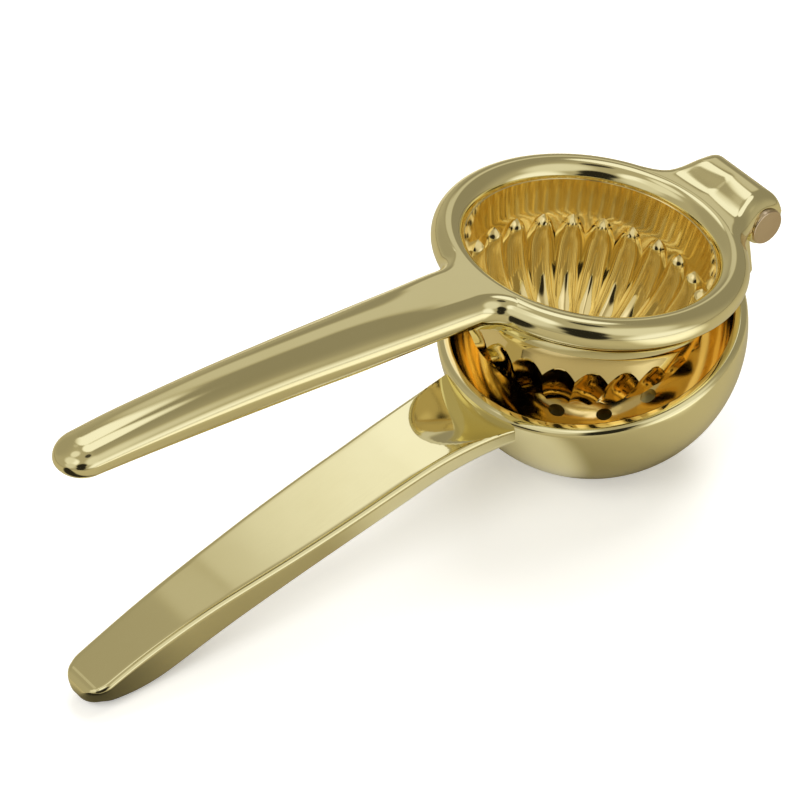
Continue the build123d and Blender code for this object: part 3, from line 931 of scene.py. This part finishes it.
@dataclass
class PressCup:
    """Fluted cup: hollow flutes with sharp ridges outside, round ribs with narrow valleys inside."""

    count: int = 24
    start: float = 9.5
    ledge: float = 7.0
    bore: float = 31.0
    band: float = 29.6
    skirt: float = -1.8
    depth: float = 30.5
    floor: float = 2.0
    groove: float = 0.937
    rib: float = 0.925
    rib_peak: float = 0.28
    brow: float = 2.2
    brow_rise: float = 1.2
    brow_fade: float = 5.0
    mouth: float = 29.7
    mouth_edge: Pair = (0.35, 0.3)
    neck: Pair = (28.1, -2.0)
    floor_lean: float = 0.5
    foot: Pair = (0.3, 1.4)
    band_end: float = 3.4
    outside_line: tuple = (
        (-5.5, 32.6), (-7.5, 31.5), (-11.0, 29.3), (-16.0, 26.6), (-21.5, 22.2), (-26.3, 16.0), (-29.4, 9.0),
        (-30.5, 3.0),
    )
    inside_line: tuple = (
        (-1.5, 30.7), (-4.0, 29.4), (-7.52, 28.07), (-10.96, 26.37), (-16.0, 23.43), (-21.5, 18.51),
        (-25.67, 12.47), (-27.69, 7.17), (-28.5, 2.51),
    )
    inner_search: Pair = (-1.6, -15.0)
    outer_search: Pair = (-5.6, -16.0)
    near: tuple = (0.1, 0.22, 0.36, 0.52, 0.72, 0.96, 1.25, 1.6, 2.0, 2.5)
    bias: float = 1.7
    across: int = 16
    seam: float = 0.003

    def outer_radius(self, z: float, u: float) -> float:
        """Outer fluted radius at height z, u from -1 to 1 across one flute."""
        return track(self.outside_line, 1).at(z) * (1 - (1 - self.groove) * (1 - u * u))

    def inner_radius(self, z: float, u: float) -> float:
        """Inner fluted radius at height z: a rib's crest at u = 0, its valleys at both ends."""
        fall = self.rib_peak * abs(u) + (1 - self.rib_peak) * u * u
        return track(self.inside_line, 1).at(z) * (1 - (1 - self.rib) * (1 - fall))

    def brow_at(self, u: float, below: float) -> float:
        """How far a rib stands out further, by the drop below the line where it leaves the wall."""
        return self.brow * (1 - u * u) * (1 - exp(-below / self.brow_rise)) * exp(-below / self.brow_fade)

    def smooth_radius(self, z: float) -> float:
        """Radius of the plain inner wall."""
        (low_r, low_z), slope = self.neck, (self.mouth - self.neck[0]) / (self.ledge - self.neck[1])
        if z > low_z:
            return low_r + (z - low_z) * slope
        return low_r + self.floor_lean * (z - low_z) / (self.depth + low_z)

    def column(self, u: float) -> list[Pair]:
        """Radius and height down the inside and up the outside at one place across a flute."""
        inner_meet = solve(lambda z: self.inner_radius(z, u) - self.smooth_radius(z), *self.inner_search)
        outer_meet = solve(lambda z: self.outer_radius(z, u) - self.band, *self.outer_search)
        base = self.floor - self.depth
        near = [inner_meet - drop for drop in self.near]
        ribbed = near + spaced(near[-1], base, 56, self.bias)[1:]
        fluted = reversed(spaced(outer_meet, -self.depth, 52, self.bias)[1:])
        wide, drop = self.mouth_edge
        rows: list[Pair] = [(self.mouth + wide, self.ledge)]
        rows += [(self.smooth_radius(z), z) for z in spaced(self.ledge - drop, inner_meet, 12)]
        rows += [(self.inner_radius(z, u) - self.brow_at(u, inner_meet - z), z) for z in ribbed]
        rows += [(0.0, base), (0.0, -self.depth)]
        rows += [(self.outer_radius(z, u), z) for z in fluted]
        rows += [(self.band, z) for z in spaced(outer_meet, self.skirt - self.band_end, 6)]
        rows += [(self.band + self.foot[0], self.skirt - self.foot[1]), (self.bore, self.skirt)]
        return rows + [(self.bore, self.ledge)]

    def build(self, material: bpy.types.Material) -> Piece:
        """Draw one flute's wedge of wall and repeat it round the axis.

        Args:
            material: Finish of the cup.

        Returns:
            The cup in the drawing frame.
        """
        shell = Shell()
        pitch = 2 * pi / self.count
        rows = []
        for k in range(self.across + 1):
            u = 2 * k / self.across - 1
            a = u * pitch / 2
            rows.append(shell.ring([(r * cos(a), r * sin(a), z) for r, z in self.column(u)]))
        wedge = placed("cup", shell.skin(rows).mesh("cup_wedge"))
        grown(wedge, flute_tree(), {
            "Count": self.count, "Start": radians(self.start), "Seam": self.seam, "Material": material})
        tidy(wedge.data)
        return wedge


@dataclass(frozen=True)
class Rib:
    """Half of one section of a form that grows out of the ring: it fans from the edge in to the middle."""

    edge: Pair
    inward: Pair
    middle_x: float
    bend_share: float = 0.5
    bend_limit: float = 4.2

    def plan(self, steps: int) -> list[Pair]:
        """Places in plan from the edge to the middle, closer at the edge."""
        reach = min(self.bend_share * hypot(self.middle_x - self.edge[0], self.edge[1]), self.bend_limit)
        bend = (self.edge[0] + self.inward[0] * reach, self.edge[1] + self.inward[1] * reach)
        places = []
        for k in range(steps + 1):
            t = 1 - cos(pi / 2 * k / steps)
            a, b, c = (1 - t) ** 2, 2 * t * (1 - t), t * t
            x = a * self.edge[0] + b * bend[0] + c * self.middle_x
            places.append((x, a * self.edge[1] + b * bend[1]))
        return places

    def loop(self, heights: Callable[[Pair], Pair], steps: int = 26, wall: int = 5) -> list[Triple]:
        """Closed section: over the top, down the wall, under and up the other side.

        Args:
            heights: Top and underside at a place in plan.
            steps: Steps from the edge to the middle.
            wall: Steps down the upright wall at the edge.

        Returns:
            The points of the section.
        """
        places = self.plan(steps)
        top = [(x, y, heights((x, y))[0]) for x, y in reversed(places)]
        low = [(x, y, heights((x, y))[1]) for x, y in places]
        (x, y, high), deep = top[-1], low[0][2]
        side = [(x, y, high + (deep - high) * k / wall) for k in range(1, wall)]
        near = top + side + low
        return near + [(x, -y, z) for x, y, z in reversed(near[1:-1])]


@dataclass
class Outgrowth:
    """Form that grows out of the ring along the X axis, with a round inner corner at each edge."""

    side: int = 1
    root: float = 41.0
    flare: float = 6.0
    lowest: float = 0.0
    turns: int = 26
    sunk: int = 3
    sunk_turn: float = 2.2
    sunk_edge: float = 0.04
    sunk_middle: float = 0.25
    sunk_depth: float = 0.05

    def half(self, x: float) -> float:
        """Half width of the plain form."""
        raise NotImplementedError

    def fillet(self, ring: PressRing) -> Pair:
        """Centre of the round inner corner, its first number counted outwards from the ring's axis."""
        across = self.half(self.side * self.root) + self.flare
        return sqrt((ring.outer[0] + self.flare) ** 2 - across**2), -across

    def inset(self, ring: PressRing, place: Pair) -> float:
        """Distance in from the edge of form, corner and ring together."""
        x, y = self.side * place[0], -abs(place[1])
        cx, cy = self.fillet(ring)
        if x > cx:
            return self.half(place[0]) + y
        if -y * cx > -cy * x:
            return ring.outer[0] - hypot(x, y)
        return hypot(x - cx, y - cy) - self.flare

    def rooted(self, ring: PressRing, first: float) -> list[tuple[Rib, float]]:
        """Sections round the inner corner and on under the ring's surface.

        Args:
            ring: The ring it grows out of.
            first: Share of the ring's form where the corner starts.

        Returns:
            Each section with its share of the ring's form, which is over 1 where it is sunk.
        """
        cx, cy = self.fillet(ring)
        end = atan2(-cy, cx)
        plans = []
        for k in range(self.turns + 1):
            a = pi / 2 + (end - pi / 2) * k / self.turns
            edge = (cx - self.flare * cos(a), cy + self.flare * sin(a))
            middle = cx + (ring.crown[0] - cx) * k / self.turns
            plans.append((a, edge, middle, first + (1 - first) * eased(k, 0, self.turns)))
        for k in range(1, self.sunk + 1):
            a, r = end + radians(self.sunk_turn) * k, ring.outer[0] - self.sunk_edge * k
            plans.append((a, (r * cos(a), -r * sin(a)), ring.crown[0] - self.sunk_middle * k, 1.0 + k))
        side = self.side
        return [(Rib((side * x, y), (-side * cos(a), sin(a)), side * middle), share)
                for a, (x, y), middle, share in plans]

    def grow(self, name: str, ring: PressRing, sections: list[tuple[Rib, float, Form]],
             ends: Sequence[int]) -> Piece:
        """Loft sections whose own form passes into the ring's.

        Args:
            name: Name of the piece.
            ring: The ring it grows out of.
            sections: Each with its share of the ring's form and its own form.
            ends: Ends that are closed by a curved strip.

        Returns:
            The piece in the drawing frame.
        """
        shoulder, keel, slope = ring.shoulder(), ring.keel(self.lowest), ring.inner_slope()
        rows = []
        for rib, share, form in sections:
            part, sunk = min(share, 1.0), self.sunk_depth * max(share - 1.0, 0.0)

            def heights(place: Pair) -> Pair:
                """Top and underside of form and ring, mixed."""
                inset = max(self.inset(ring, place), 0.0)
                top, low = form(place, inset)
                top += (shoulder.at(inset) - top) * part - sunk
                low += (keel.at(inset) - low) * part + sunk
                return min(top, ring.limit(slope, place)), low

            rows.append(rib.loop(heights))
        return placed(name, Shell().fan(rows, ends).mesh(name))


@dataclass
class UpperHandle(Outgrowth):
    """Forged grip: an oval that flattens and flares out into the ring, with a rounded tip."""

    side: int = -1
    lowest: float = -0.9
    rows: tuple = (
        (-28.0, 4.8, 9.2, 5.75), (-41.0, 4.9, 9.2, 5.7), (-52.0, 5.05, 8.9, 5.55), (-66.0, 5.35, 8.5, 5.65),
        (-82.0, 5.1, 8.0, 5.6), (-96.0, 4.6, 7.6, 5.55), (-110.0, 3.95, 7.3, 5.3), (-124.0, 3.1, 7.0, 4.85),
        (-137.0, 2.1, 6.7, 4.3), (-145.0, 1.25, 6.4, 3.9), (-151.7, 0.5, 6.2, 3.6),
    )
    blend_start: float = -78.0
    blend: float = 0.9
    tip_length: float = 6.7
    tip_start: float = 0.002
    tip_least: float = 0.02
    tip_steps: int = 26
    pitch: float = 1.1
    squareness: float = 2.25

    def half(self, x: float) -> float:
        """Half width of the plain grip."""
        rest = max(x - self.rows[-1][0], 0.0)
        return track(self.rows, 2).at(x) * max(1 - edge_drop(rest / self.tip_length), self.tip_least)

    def stations(self, last: float) -> list[float]:
        """Places of the plain sections, closer at the tip."""
        tip = self.rows[-1][0]
        start = tip + self.tip_length
        turns = [pi / 2 * k / self.tip_steps for k in range(1, self.tip_steps)]
        count = int((last - start) / self.pitch)
        bend = [tip + self.tip_length * (1 - cos(a)) for a in turns]
        return [tip + self.tip_start] + bend + [start + (last - start) * k / count for k in range(count + 1)]

    def oval(self, x: float) -> Form:
        """Top and underside of the plain grip at x, by place and inset."""
        middle, full = track(self.rows, 1).at(x), self.half(x)
        rise = track(self.rows, 3).at(x) * (full / track(self.rows, 2).at(x))

        def form(_: Pair, inset: float) -> Pair:
            """Oval section."""
            rest = 1 - min(inset / full, 1.0)
            swell = rise * (1 - rest**self.squareness) ** (1 / self.squareness)
            return middle + swell, middle - swell

        return form

    def build(self, ring: PressRing) -> Piece:
        """Loft the grip and fan it out along the ring."""
        last = -self.fillet(ring)[0]
        ribs = [(Rib((x, -self.half(x)), (0.0, 1.0), x), self.blend * eased(x, self.blend_start, last))
                for x in self.stations(last)] + self.rooted(ring, self.blend)[1:]
        sections = [(rib, share, self.oval(min(rib.edge[0], last))) for rib, share in ribs]
        return self.grow("upper_grip", ring, sections, ends=(0, -1))


@dataclass
class HingeHood(Outgrowth):
    """Tongue beyond the ring: a roof, an end wall and two ears round the lug."""

    flare: float = 16.0
    lowest: float = 2.0
    half_width: float = 11.9
    end_x: float = 51.0
    corner: float = 1.4
    side_round: float = 4.4
    ear_round: float = 3.4
    end_round: float = 5.8
    low_edge: float = 0.4
    ear: float = 5.3
    lug_width: float = 16.0
    gap: float = 0.3
    knuckle: float = 4.9
    lug_room: Pair = (7.5, 40.0)
    notch: Pair = (36.0, 9.0)
    notch_slope: float = 0.75
    notch_top: float = 8.6
    notch_ends: Pair = (33.0, 40.6)
    root_low: float = 5.0
    middle_steps: Pair = (0.4, 0.6)
    steps: int = 16
    end_steps: int = 24
    top_line: tuple = (
        (29.0, 10.6), (33.0, 10.6), (35.4, 11.2), (38.4, 12.6), (41.0, 13.5), (43.4, 13.8), (51.0, 13.8),
    )

    def half(self, x: float) -> float:
        """Half width of the tongue, the same all along."""
        return self.half_width

    def low(self, x: float) -> float:
        """Height of the ears' lower edge, with a notch between the ears and the ring."""
        hx, hz = STANCE.hinge_x, STANCE.hinge_z
        first, last = self.notch_ends
        if x <= first:
            return self.root_low
        round_edge = hz - sqrt(self.ear**2 - (x - hx) ** 2) if abs(x - hx) < self.ear else hz
        if x >= last:
            return round_edge
        notch = self.notch[1] - abs(x - self.notch[0]) * self.notch_slope
        return max(round_edge, min(notch, self.notch_top))

    def plain(self, start: float) -> list[tuple[Rib, float]]:
        """Sections of the tongue beyond the inner corner, each with its edge radius."""
        bx, by = self.end_x - self.corner, -self.half_width + self.corner
        turn, rest = self.middle_steps
        ribs = []
        for k in range(1, self.steps + 1):
            x = start + (bx - start) * k / self.steps
            bend = self.side_round + (self.ear_round - self.side_round) * eased(k, 0, self.steps)
            ribs.append((Rib((x, -self.half_width), (0.0, 1.0), x), bend))
        for k in range(1, self.steps + 1):
            a = pi / 2 * k / self.steps
            edge = (bx + self.corner * sin(a), by - self.corner * cos(a))
            ribs.append((Rib(edge, (-sin(a), cos(a)), bx + turn * k / self.steps), self.ear_round))
        for k in range(1, self.end_steps + 1):
            edge = (self.end_x, by * (1 - k / self.end_steps))
            ribs.append((Rib(edge, (-1.0, 0.0), bx + turn + rest * k / self.end_steps), self.ear_round))
        return ribs

    def tongue(self, low: float, bend: float) -> Form:
        """Top and underside of the plain tongue, by place and inset."""
        crest = track(self.top_line, 1)

        def form(place: Pair, inset: float) -> Pair:
            """Tongue with rounded edges and a rounded end."""
            end = self.end_round * edge_drop((self.end_x - place[0]) / self.end_round)
            top = crest.at(place[0]) - bend * edge_drop(inset / bend) - end
            return top, low + self.low_edge * edge_drop(inset / self.low_edge)

        return form

    def build(self, ring: PressRing) -> Piece:
        """Loft the hood and hollow it for the lug."""
        ribs = [(rib, share, self.side_round) for rib, share in reversed(self.rooted(ring, 0.0))]
        ribs += [(rib, 0.0, bend) for rib, bend in self.plain(self.fillet(ring)[0])]
        sections = [(rib, share, self.tongue(self.low(rib.edge[0]), bend)) for rib, share, bend in ribs]
        piece = self.grow("hood", ring, sections, ends=(0,))
        hx, hz = STANCE.hinge_x, STANCE.hinge_z
        half, reach = self.lug_width / 2 + self.gap, self.knuckle + self.gap
        below = box_shape((hx - self.lug_room[0], -half, hz - self.lug_room[1]), (hx + reach, half, hz))
        return carve(piece, [rod_shape(hx, hz, reach, half), below], "MANIFOLD")


@dataclass
class RivetPin:
    """Headed pin, peened over at its tail."""

    radius: float = 2.5
    reach: float = 12.3
    head: float = 4.5
    head_thickness: float = 1.0
    head_round: float = 0.45
    head_flat: float = 0.6
    head_slope: float = 0.7
    head_drops: Triple = (0.02, 0.06, 0.05)
    head_bulge: Pair = (0.29, 0.35)
    tail: float = 3.9
    tail_thickness: float = 1.0
    tail_edge: float = 0.3
    tail_bulge: Pair = (0.35, 0.25)
    tail_round: float = 1.3
    washer: float = 4.6
    washer_thickness: float = 0.4
    washer_edge: float = 0.1
    steps: int = 8
    segments: int = 96

    def across(self, profile: list[Pair], name: str, closed: bool = False) -> Piece:
        """Turn a profile round the hinge, its height running along +Y."""
        mesh = Shell().lathe(profile, self.segments, closed).mesh(name)
        hinge = Matrix.Translation((STANCE.hinge_x, 0, STANCE.hinge_z))
        mesh.transform(hinge @ Matrix.Rotation(radians(-90), 4, "X"))
        return placed(name, mesh)

    def build(self) -> Piece:
        """Turn the pin, its head towards -Y."""
        low, q = -self.reach, self.head_round
        face, end = low - self.head_thickness, self.reach + self.tail_thickness
        first, second, third = self.head_drops
        near, wide = self.head - q, self.head - q * self.head_bulge[0]
        bulge = (wide, face + q * self.head_bulge[1])
        rim = arc((near, face + second), bulge, (self.head, face + q + third), self.steps)
        slope = run((self.head_flat, face), (near - self.head_slope, face + first), self.steps)
        cap = joined([(0.0, face)], slope, rim, [(self.head, low), (self.radius, low)])
        peened = arc((self.tail, self.reach + self.tail_edge),
                     (self.tail - self.tail_bulge[0], end - self.tail_bulge[1]),
                     (self.tail - self.tail_round, end), self.steps)
        tail = joined([(self.radius, self.reach), (self.tail, self.reach)], peened, [(0.0, end)])
        return self.across(joined(cap, tail), "pin")

    def ring(self, side: int) -> Piece:
        """Turn the washer on one side, -1 at the head."""
        low, high = sorted((side * (self.reach - self.washer_thickness), side * self.reach))
        q = self.washer_edge
        wide = self.washer
        profile = [(self.radius, low), (wide - q, low), (wide, low + q), (wide, high - q), (wide - q, high),
                   (self.radius, high)]
        return self.across(profile, "washer_head" if side < 0 else "washer_tail", closed=True)


# ------------------------------------------------------------------ studio
@dataclass(frozen=True)
class Patch:
    """Softly edged round patch of the light tent, or of a dark card in it."""

    azimuth: float
    height: float
    core: float
    edge: float
    level: float

    def centre(self) -> Triple:
        """Direction of the patch, its azimuth counted from -Y towards +X."""
        a, e = radians(self.azimuth), radians(self.height)
        return (sin(a) * cos(e), -cos(a) * cos(e), sin(e))


@dataclass
class Studio:
    """Pale floor, light tent with soft lamps, and the camera."""

    eye: Triple = (-0.526327, -0.563640, 0.677154)
    right: Triple = (0.781251, -0.623827, 0.022051)
    up: Triple = (0.395643, 0.522189, 0.755503)
    back: Triple = (-0.482818, -0.581514, 0.654774)
    focal: float = 4226.56
    frame_pixels: float = 800.0
    sensor: float = 36.0
    near_clip: float = 0.01
    middle: Triple = (0.0, 0.0, 0.04)
    floor_half: float = 3.0
    floor_tone: float = 0.9
    floor_glow: float = 0.35
    open_level: float = 0.41
    patches: tuple[Patch, ...] = (
        Patch(105, 30, 25, 58, 0.27),
        Patch(118, 50, 6, 16, 0.27),
        Patch(10, 45, 14, 30, 0.72),
        Patch(12, 0, 14, 32, 1.00),
        Patch(150, -20, 8, 22, 0.65),
        Patch(138, 28, 8, 14, 0.55),
        Patch(151, 48, 8, 12, 1.00),
        Patch(130, 67, 10, 14, 1.00),
        Patch(140, 16, 4, 9, 0.28),
        Patch(-172, 30, 15, 32, 0.34),
        Patch(-150, 68, 6, 12, 0.80),
        Patch(172, 54, 2, 4, 0.50),
        Patch(-85, 50, 14, 22, 1.00),
        Patch(20, 80, 5, 9, 0.05),
        Patch(-108, 52, 8, 20, 0.75),
        Patch(-80, 28, 10, 24, 0.66),
        Patch(-84, -6, 8, 13, 0.02),
        Patch(-74, -50, 12, 24, 0.95),
        Patch(-38, 12, 12, 19, 0.02),
        Patch(-38, 32, 12, 19, 0.02),
    )
    warmth: tuple = (
        (0.0, (0.0, 0.0, 0.0)), (0.42, (0.45, 0.41, 0.30)), (0.75, (0.78, 0.76, 0.68)),
        (1.0, (1.0, 1.0, 1.0)),
    )
    lamps: tuple = (
        ("back_lamp", (0.64, 0.77, 0.75), (0.0, 0.0, 0.0), 0.6, 5.0),
        ("high_lamp", (0.45, 0.08, 1.10), (0.0, 0.0, 0.0), 0.7, 5.0),
        ("left_lamp", (-0.80, -0.20, 0.80), (-0.03, 0.0, 0.03), 0.6, 4.0),
    )
    lamp_shape: float = 0.7

    def camera(self) -> None:
        """Place the camera."""
        lens = bpy.data.cameras.new("camera")
        lens.sensor_width = self.sensor
        lens.lens = self.focal / self.frame_pixels * self.sensor
        lens.clip_start = self.near_clip
        eye = bpy.data.objects.new("camera", lens)
        turn = Matrix((self.right, self.up, self.back)).transposed().to_4x4()
        eye.matrix_world = Matrix.Translation(self.eye) @ turn
        bpy.context.scene.collection.objects.link(eye)
        bpy.context.scene.camera = eye

    def tone(self, tree: Tree, way: object) -> Node:
        """Tone of the tent by direction.

        Args:
            tree: Tree that gets the nodes.
            way: Unit direction from the tool.

        Returns:
            Node with the tent's colour.
        """
        level: object = self.open_level
        for patch in self.patches:
            facing = maths(tree, "DOT_PRODUCT", way, patch.centre(), kind="ShaderNodeVectorMath")
            rim, core = cos(radians(patch.edge)), cos(radians(patch.core))
            mask = wire(tree, "ShaderNodeMapRange", {"Value": facing.outputs["Value"], 1: rim, 2: core},
                        interpolation_type="SMOOTHSTEP")
            level = wire(tree, "ShaderNodeMix", {0: mask, 2: level, 3: patch.level})
        ramp = wire(tree, "ShaderNodeValToRGB", {0: level})
        while len(ramp.color_ramp.elements) < len(self.warmth):
            ramp.color_ramp.elements.new(0.5)
        for element, (at, colour) in zip(ramp.color_ramp.elements, self.warmth):
            element.position = at
            element.color = (*colour, 1.0)
        return ramp

    def by_ray(self, tree: Tree, ray: str, others: Node, rays: Node) -> Node:
        """Shader that differs for one kind of ray."""
        path = wire(tree, "ShaderNodeLightPath")
        return wire(tree, "ShaderNodeMixShader", {0: path.outputs[ray], 1: others, 2: rays})

    def floor(self) -> None:
        """Lay a wide pale floor that keeps the shadow and mirrors as a part of the tent."""
        shell = Shell()
        edge = self.floor_half
        corners = [(-edge, -edge, 0), (edge, -edge, 0), (edge, edge, 0), (-edge, edge, 0)]
        shell.faces.append(tuple(shell.ring(corners)))
        mesh = shell.mesh("floor")
        material = bpy.data.materials.new("pale_floor")
        material.use_nodes = True
        tree = material.node_tree
        tree.nodes.clear()
        place = wire(tree, "ShaderNodeTexCoord").outputs["Object"]
        away = maths(tree, "SUBTRACT", place, self.middle, kind="ShaderNodeVectorMath")
        way = maths(tree, "NORMALIZE", away, kind="ShaderNodeVectorMath")
        grey = (self.floor_tone, self.floor_tone, self.floor_tone, 1.0)
        matt = wire(tree, "ShaderNodeBsdfDiffuse", {"Color": grey})
        glow = wire(tree, "ShaderNodeEmission", {"Color": (1.0, 1.0, 1.0, 1.0), "Strength": self.floor_glow})
        pale = wire(tree, "ShaderNodeAddShader", {0: matt, 1: glow})
        toned = wire(tree, "ShaderNodeBsdfDiffuse", {"Color": self.tone(tree, way)})
        wire(tree, "ShaderNodeOutputMaterial", {"Surface": self.by_ray(tree, "Is Glossy Ray", pale, toned)})
        mesh.materials.append(material)
        placed("floor", mesh)

    def world(self) -> None:
        """Light tent with dark cards in it, white to the camera."""
        world = bpy.data.worlds.new("tent")
        bpy.context.scene.world = world
        world.use_nodes = True
        world.cycles.sampling_method = "NONE"
        tree = world.node_tree
        tree.nodes.clear()
        way = wire(tree, "ShaderNodeTexCoord").outputs["Generated"]
        tent = wire(tree, "ShaderNodeBackground", {"Color": self.tone(tree, way), "Strength": 1.0})
        white = wire(tree, "ShaderNodeBackground", {"Color": (1.0, 1.0, 1.0, 1.0), "Strength": 1.0})
        wire(tree, "ShaderNodeOutputWorld", {"Surface": self.by_ray(tree, "Is Camera Ray", tent, white)})

    def light(self) -> None:
        """Hang the soft lamps."""
        for name, place, aim, size, power in self.lamps:
            lamp = bpy.data.lights.new(name, "AREA")
            lamp.shape = "RECTANGLE"
            lamp.size = size
            lamp.size_y = size * self.lamp_shape
            lamp.energy = power
            holder = bpy.data.objects.new(name, lamp)
            turn = (Vector(aim) - Vector(place)).to_track_quat("-Z", "Y").to_matrix().to_4x4()
            holder.matrix_world = Matrix.Translation(place) @ turn
            holder.visible_glossy = False
            bpy.context.scene.collection.objects.link(holder)

    def build(self) -> None:
        """Set the whole studio."""
        self.camera()
        self.floor()
        self.world()
        self.light()
        bpy.context.scene.view_settings.view_transform = "Standard"


@dataclass
class Squeezer:
    """The whole tool."""

    bowl: StrainerBowl = field(default_factory=StrainerBowl)
    lower_handle: LowerHandle = field(default_factory=LowerHandle)
    lug: HingeLug = field(default_factory=HingeLug)
    ring: PressRing = field(default_factory=PressRing)
    cup: PressCup = field(default_factory=PressCup)
    upper_handle: UpperHandle = field(default_factory=UpperHandle)
    hood: HingeHood = field(default_factory=HingeHood)
    pin: RivetPin = field(default_factory=RivetPin)

    def build(self) -> None:
        """Build, place and dress every piece."""
        # The second group marks where the amber bounce light inside the bowl is painted.
        group, bounce_paint_tree = Wear().group(), bounce_paint_group()
        finishes = (LOWER_GOLD, PALE_GOLD, CUP_GOLD, PIN_COPPER, WASHER_STEEL)
        coats = {finish: finish.material(group, bounce_paint_tree) for finish in finishes}
        dressed = (
            (self.bowl.build(coats[LOWER_GOLD]), Arm.LOWER, LOWER_GOLD, "strainer_bowl"),
            (self.lower_handle.build(self.bowl), Arm.LOWER, LOWER_GOLD, "lower_handle"),
            (self.lug.build(self.bowl), Arm.LOWER, LOWER_GOLD, "hinge_lug"),
            (self.ring.build(), Arm.PRESS, PALE_GOLD, "press_ring"),
            (self.cup.build(coats[CUP_GOLD]), Arm.PRESS, CUP_GOLD, "press_cup"),
            (self.upper_handle.build(self.ring), Arm.PRESS, PALE_GOLD, "upper_handle"),
            (self.hood.build(self.ring), Arm.PRESS, PALE_GOLD, "hinge_hood"),
            (self.pin.build(), Arm.PRESS, PIN_COPPER, "hinge_pin"),
            (self.pin.ring(-1), Arm.PRESS, WASHER_STEEL, "head_washer"),
            (self.pin.ring(1), Arm.PRESS, WASHER_STEEL, "tail_washer"),
        )
        for piece, arm, finish, node in dressed:
            finish_piece(piece, arm, coats[finish], [node])


def plain(box: object) -> list:
    """A bounding box as plain lists of numbers."""
    return [[float(value) for value in corner] for corner in box]


def main() -> None:
    """Build the tool and its studio."""
    logging.basicConfig(level=logging.INFO, format="%(name)s %(message)s")
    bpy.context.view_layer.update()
    Squeezer().build()
    Studio().build()
    bpy.context.view_layer.update()


if __name__ == "__main__":
    main()
